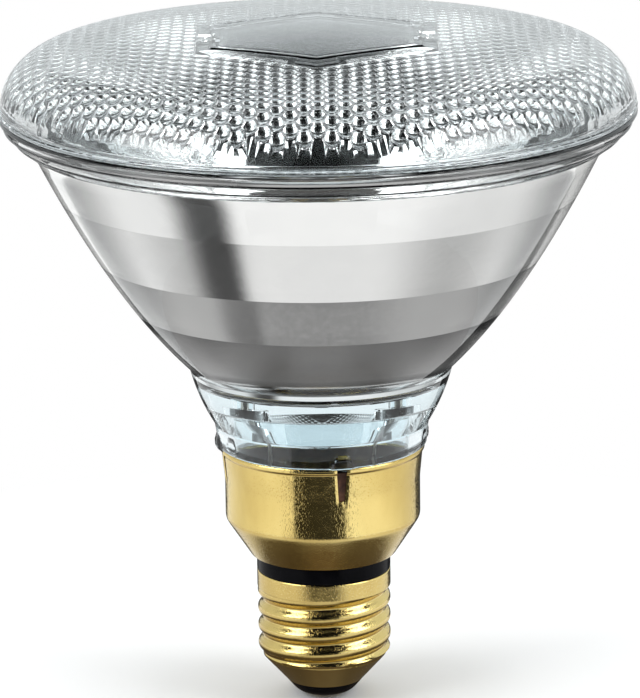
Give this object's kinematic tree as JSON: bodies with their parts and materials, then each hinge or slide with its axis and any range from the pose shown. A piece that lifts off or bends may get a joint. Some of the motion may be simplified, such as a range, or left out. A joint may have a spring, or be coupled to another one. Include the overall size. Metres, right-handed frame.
{
  "type": "par spotlight bulb",
  "caption": "Clear reflector spotlight bulb: domed beaded lens, silvered glass bowl, clear neck, and a slotted brass skirt over a screw cap that feeds and holds it.",
  "frame": {"origin": "lowest point of the centre contact, on the lamp's axis", "axes": "+Z along the lamp's axis from the contact to the lens; -Y is the side shown in the picture; the two ferrules lie along X"},
  "size_m": [0.1224, 0.1224, 0.1329],
  "materials": {
    "clear_glass": "clear pressed glass, polished",
    "mirror": "bright, slightly grained",
    "brass": "polished, worn",
    "black_insulator": "glossy black insulator",
    "cement": "matt brown cement",
    "contact_brass": "dull",
    "solder": "dull tin solder",
    "ferrule_metal": "satin",
    "lead_metal": "satin",
    "tungsten": "dark, matt"
  },
  "bodies": {
    "root": {"lens": "clear_glass", "reflector": "clear_glass", "mirror_film": "mirror", "skirt": "brass", "skirt_cement": "cement", "insulating_ring": "black_insulator", "screw_shell": "brass", "end_insulator": "black_insulator", "centre_contact": "contact_brass", "contact_solder": "solder", "ferrule_left": "ferrule_metal", "ferrule_right": "ferrule_metal", "lead_post_left": "lead_metal", "lead_post_right": "lead_metal", "filament": "tungsten", "wire_to_contact": "lead_metal", "wire_to_shell": "lead_metal", "shell_solder": "solder"}
  },
  "joints": []
}
